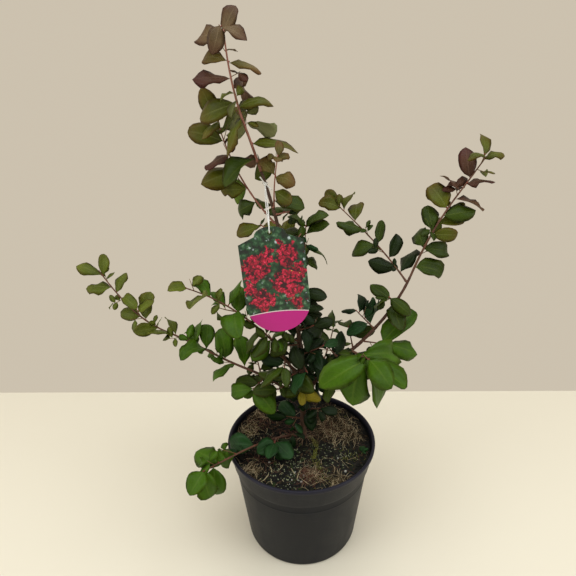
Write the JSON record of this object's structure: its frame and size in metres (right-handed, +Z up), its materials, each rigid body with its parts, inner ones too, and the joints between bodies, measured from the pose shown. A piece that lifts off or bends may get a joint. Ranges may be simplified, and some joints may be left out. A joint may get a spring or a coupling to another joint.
{
  "type": "young crape myrtle shrub in a nursery pot",
  "caption": "Young flowering shrub with thin arching leafy shoots, in a round tapered black nursery pot of compost, with a hanging picture label.",
  "frame": {"origin": "centre of the pot's flat underside", "axes": "+Z up along the pot's axis, -Y towards the front with the label, +X to the right seen from the front"},
  "size_m": [0.5617, 0.2961, 0.6983],
  "materials": {
    "pot_plastic": "black moulded plastic with a soft sheen",
    "compost": "damp dark compost with straw and moss",
    "bark": "smooth thin red-brown bark",
    "foliage": "slightly glossy green leaves with bronze tints",
    "label_card": "printed gloss card",
    "tie": "white plastic tie"
  },
  "bodies": {
    "root": {"trunk": "bark", "right_bough": "bark", "left_bough": "bark", "left_mid_bough": "bark", "low_bough": "bark", "leader_shoot": "foliage", "second_shoot": "foliage", "third_shoot": "foliage", "rear_shoot": "foliage", "back_shoot": "foliage", "back_low_shoot": "foliage", "right_shoot": "foliage", "side_shoot": "foliage", "front_shoot": "foliage", "left_shoot": "foliage", "left_mid_shoot": "foliage", "low_shoot": "foliage", "low_spray": "foliage", "trunk_spray_1": "foliage", "trunk_spray_2": "foliage", "trunk_spray_3": "foliage", "trunk_spray_4": "foliage", "trunk_spray_5": "foliage", "trunk_spray_6": "foliage", "trunk_spray_7": "foliage", "trunk_spray_8": "foliage", "trunk_spray_9": "foliage", "trunk_spray_10": "foliage", "left_bough_spray": "foliage", "left_rear_spray": "foliage", "left_mid_spray": "foliage", "right_spray_1": "foliage", "right_spray_2": "foliage", "right_spray_3": "foliage", "right_spray_4": "foliage", "right_spray_5": "foliage", "right_spray_6": "foliage", "trunk_spray_11": "foliage", "trunk_spray_12": "foliage", "trunk_spray_13": "foliage", "left_front_spray": "foliage", "left_mid_front_spray": "foliage", "right_spray_7": "foliage", "pot": "pot_plastic", "compost": "compost", "label": "label_card", "label_tie": "tie"}
  },
  "joints": []
}
